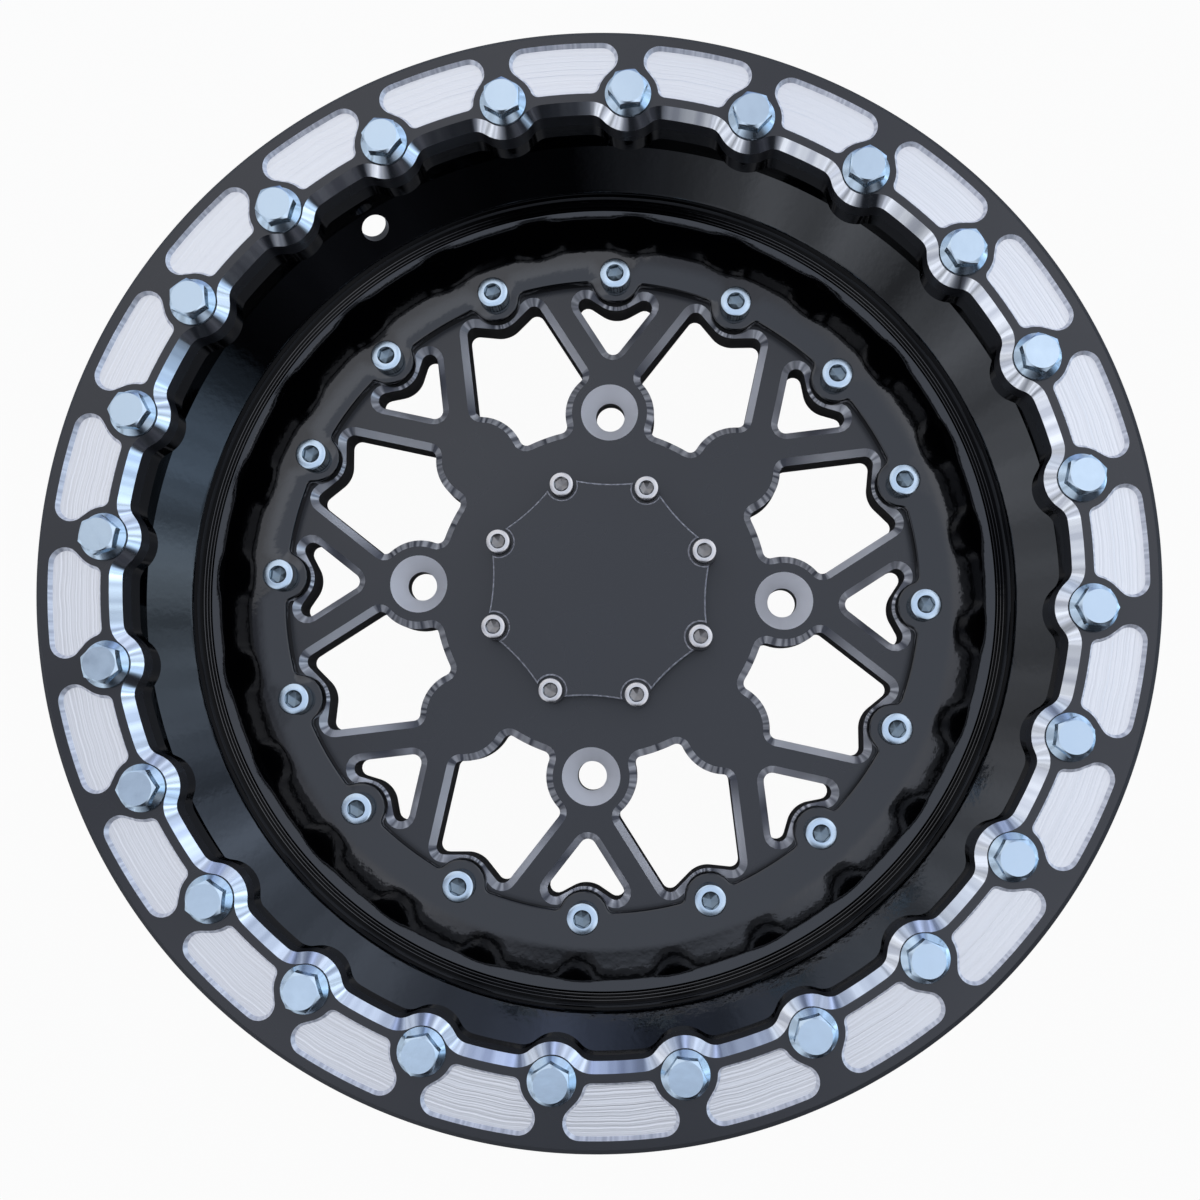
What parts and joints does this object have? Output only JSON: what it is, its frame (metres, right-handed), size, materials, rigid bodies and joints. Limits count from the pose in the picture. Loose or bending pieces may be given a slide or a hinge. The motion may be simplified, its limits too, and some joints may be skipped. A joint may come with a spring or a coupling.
{
  "type": "beadlock wheel",
  "caption": "Off-road beadlock wheel: deep rim, bolted centre plate with spokes and windows, clamp ring with milled pockets, and a hub cap.",
  "frame": {"origin": "centre of the hub mounting face, on the wheel's axis", "axes": "+Z along the wheel's axis towards the street side; the four lug holes lie on +X, -X, +Y and -Y"},
  "size_m": [0.4169, 0.417, 0.2171],
  "materials": {
    "gloss_black": "gloss black powder coat",
    "satin_black": "satin black anodised, machined bright at the pockets and chamfers",
    "anodised_black": "satin black anodised, machined bright at the chamfers",
    "zinc_steel": "zinc-plated steel",
    "stainless": "plain stainless steel"
  },
  "bodies": {
    "root": {"barrel": "gloss_black", "beadlock_ring": "satin_black", "centre_plate": "anodised_black", "centre_cap": "anodised_black", "beadlock_bolts": "zinc_steel", "centre_screws": "zinc_steel", "cap_screws": "stainless"}
  },
  "joints": []
}
